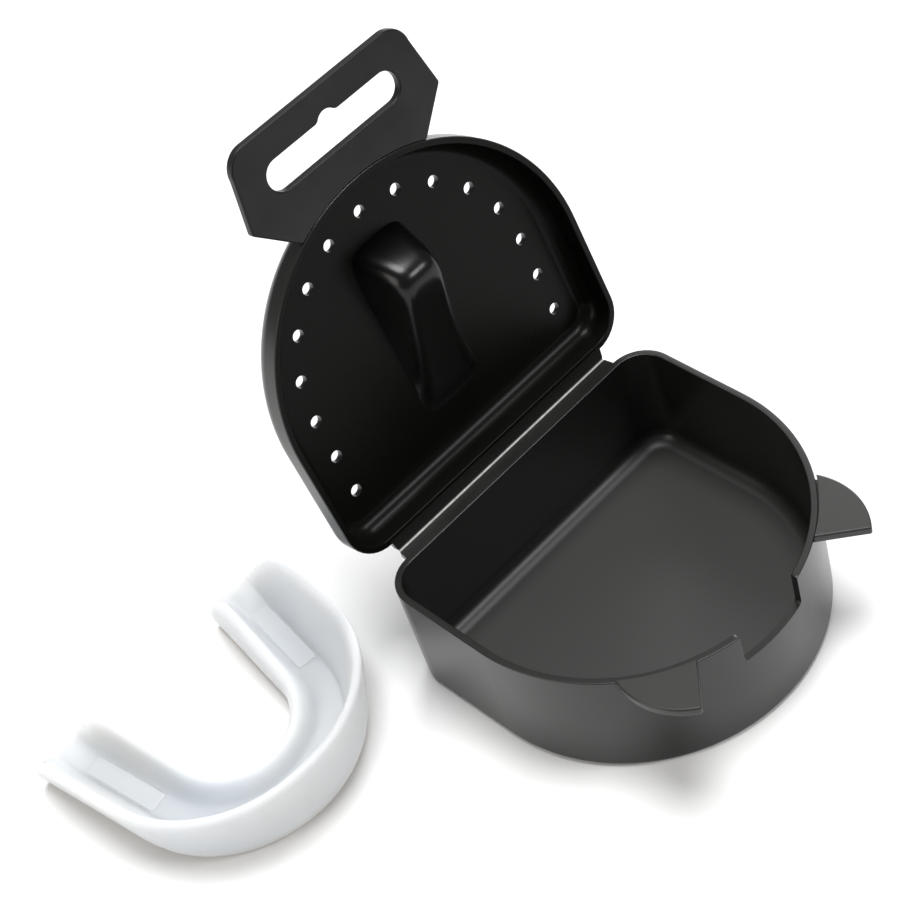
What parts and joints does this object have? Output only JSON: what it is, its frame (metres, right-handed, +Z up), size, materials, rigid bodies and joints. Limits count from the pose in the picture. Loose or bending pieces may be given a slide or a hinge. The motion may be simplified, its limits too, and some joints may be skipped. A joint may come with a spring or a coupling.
{
  "type": "mouthguard with carrying case",
  "caption": "Soft horseshoe-shaped mouthguard beside its open clamshell case, a deep tray with a hinged, vented lid, a hollow boss and a slotted hang tab.",
  "frame": {"origin": "on the tray's underside, at the centre of its round front", "axes": "+Z up, +Y towards the hinge, -Y towards the thumb notch, +X to the right seen from the front"},
  "size_m": [0.1492, 0.1191, 0.1178],
  "materials": {
    "case_plastic": "satin",
    "hinge_film": "gloss",
    "guard_elastomer": "satin"
  },
  "bodies": {
    "base": {"base_tray": "case_plastic", "base_ear_left": "case_plastic", "base_ear_right": "case_plastic", "base_hinge_leaf": "case_plastic", "hinge_web": "hinge_film"},
    "lid": {"lid_pan": "case_plastic", "lid_boss": "case_plastic", "lid_hinge_leaf": "case_plastic", "hang_tab": "case_plastic"},
    "guard": {"mouthguard": "guard_elastomer"}
  },
  "joints": [
    {"name": "lid_hinge", "type": "hinge", "parent": "base", "child": "lid", "pos_m": [0, 0.032, 0.0286], "axis": [1, 0, 0], "range_deg": [-76, 104]},
    {"name": "guard_lift", "type": "slide", "parent": "base", "child": "guard", "axis": [0, 0, 1], "range_m": [0, 0.06]}
  ]
}
